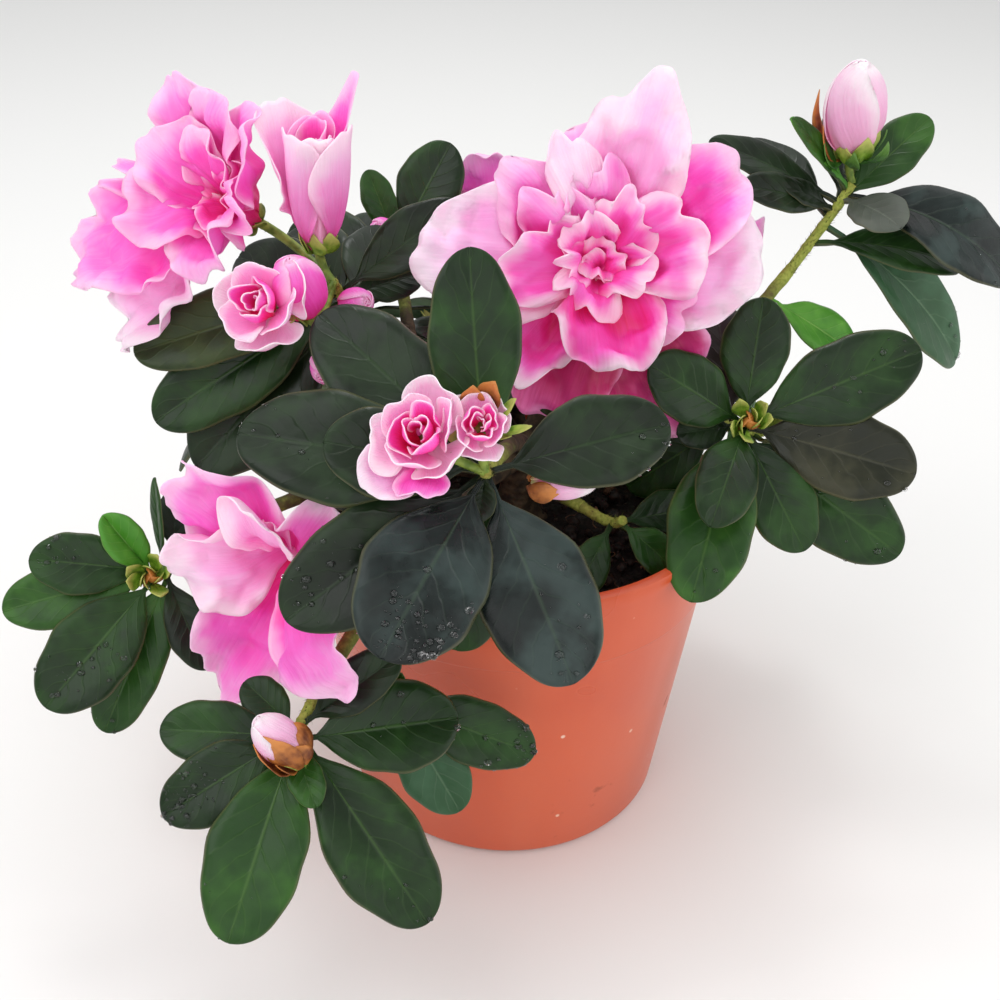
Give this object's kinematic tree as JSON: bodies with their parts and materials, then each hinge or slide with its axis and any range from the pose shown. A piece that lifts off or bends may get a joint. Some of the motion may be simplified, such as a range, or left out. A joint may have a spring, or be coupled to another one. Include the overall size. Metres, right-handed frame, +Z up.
{
  "type": "potted azalea shrub in flower",
  "caption": "Young azalea in a round terracotta-coloured plastic pot: forking boughs, whorls of dark oval leaves, ruffled pink double blooms and buds.",
  "frame": {"origin": "centre of the pot's flat underside", "axes": "+Z up through the pot, -Y towards the viewer of the picture, +X to that viewer's right"},
  "size_m": [0.2067, 0.1767, 0.1599],
  "materials": {
    "pot_plastic": "satin",
    "compost": "matte",
    "bark": "matte",
    "leaf": "satin",
    "petal": "matte"
  },
  "bodies": {
    "root": {"pot": "pot_plastic", "compost": "compost", "trunk": "bark", "bough_front": "bark", "bough_front_low": "bark", "bough_front_mid": "bark", "bough_left_low": "bark", "bough_left_top": "bark", "bough_right": "bark", "bough_right_top": "bark", "bough_back_left": "bark", "bough_top": "bark", "bough_middle": "bark", "bough_left": "bark", "bough_low_right": "bark", "bough_back": "bark", "bough_back_right": "bark", "bough_left_back": "bark", "bough_back_low": "bark", "bough_right_low": "bark", "bud_front_large": "petal", "bud_front_small": "petal", "bud_left_open": "petal", "bud_left_closed": "petal", "bud_right_top": "petal", "bud_front_low": "petal", "bloom_top": "petal", "bloom_left_top": "petal", "bloom_half_open": "petal", "bloom_left": "petal", "bloom_back": "petal", "bloom_back_right": "petal", "foliage_front": "leaf", "foliage_front_low": "leaf", "foliage_front_mid": "leaf", "foliage_left_low": "leaf", "foliage_left_top": "leaf", "foliage_right": "leaf", "foliage_right_top": "leaf", "foliage_back_left": "leaf", "foliage_top": "leaf", "foliage_middle": "leaf", "foliage_left": "leaf", "foliage_low_right": "leaf", "foliage_back": "leaf", "foliage_back_right": "leaf", "foliage_left_back": "leaf", "foliage_back_low": "leaf", "foliage_right_low": "leaf"}
  },
  "joints": []
}
